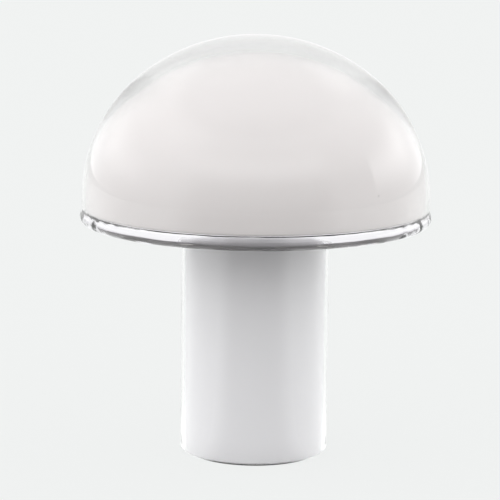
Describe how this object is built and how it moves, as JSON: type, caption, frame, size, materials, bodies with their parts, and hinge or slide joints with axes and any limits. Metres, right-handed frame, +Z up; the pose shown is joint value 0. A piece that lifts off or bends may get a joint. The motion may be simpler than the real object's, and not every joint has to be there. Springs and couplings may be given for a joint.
{
  "type": "mushroom table lamp",
  "caption": "Mushroom table lamp: a domed opal glass shade in a clear glass skin lies loose over a round opal glass base and hides a screw-cap bulb.",
  "frame": {"origin": "on the floor, under the middle of the round base", "axes": "+Z up along the lamp's axis, -Y towards the front, the cord inlet at the rear towards +Y"},
  "size_m": [0.27, 0.27, 0.324],
  "materials": {
    "clear_glass": "polished clear glass",
    "opal_glass": "glossy white opal glass",
    "frosted_glass": "frosted glass",
    "stem_glass": "clear glass",
    "white_steel": "white powder coat",
    "zinc_steel": "zinc plated",
    "spring_steel": "white lacquer on spring steel",
    "cast_iron": "cast, dark grey",
    "rubber": "matte",
    "silicone": "translucent silicone",
    "white_plastic": "moulded",
    "porcelain": "glazed",
    "brass": "plain",
    "nickel": "bright nickel",
    "aluminium": "bright",
    "black_glass": "glossy black",
    "tungsten": "dark wire"
  },
  "bodies": {
    "base": {"base_clear_tube": "clear_glass", "base_opal_lining": "opal_glass", "rubber_foot_ring": "rubber", "bottom_plate": "zinc_steel", "plate_gasket": "rubber", "ballast_weight": "cast_iron", "tie_tube": "zinc_steel", "tube_nuts": "zinc_steel", "tube_washers": "zinc_steel", "inlet_bush": "white_plastic", "bush_nut": "white_plastic", "base_top_gasket": "silicone", "carrier_plate": "white_steel", "support_arm_1": "spring_steel", "support_arm_2": "spring_steel", "support_arm_3": "spring_steel", "arm_buffer_1": "silicone", "arm_buffer_2": "silicone", "arm_buffer_3": "silicone", "arm_rivets": "aluminium", "lampholder_cap": "white_plastic", "lampholder_shell": "white_plastic", "lampholder_insert": "porcelain", "thread_sleeve": "brass", "centre_contact": "brass", "terminal_screws": "nickel"},
    "bulb_tip": {"bulb_contact": "nickel"},
    "bulb": {"bulb_envelope": "frosted_glass", "bulb_cap": "aluminium", "bulb_insulator": "black_glass", "bulb_stem": "stem_glass", "filament_supports": "nickel", "bulb_filament": "tungsten"},
    "shade": {"shade_clear_dome": "clear_glass", "shade_opal_dome": "opal_glass"}
  },
  "joints": [
    {"name": "bulb_rise", "type": "slide", "parent": "base", "child": "bulb_tip", "axis": [0, 0, 1], "range_m": [0, 0.0182]},
    {"name": "bulb_turn", "type": "hinge", "parent": "bulb_tip", "child": "bulb", "pos_m": [0, 0, 0.2], "axis": [0, 0, 1], "range_deg": [0, 1800]},
    {"name": "shade_lift", "type": "slide", "parent": "base", "child": "shade", "axis": [0, 0, 1], "range_m": [0, 0.14]}
  ],
  "couplings": [
    {"joint": "bulb_rise", "follows": "bulb_turn", "m_per_rad": 0.00057757}
  ]
}
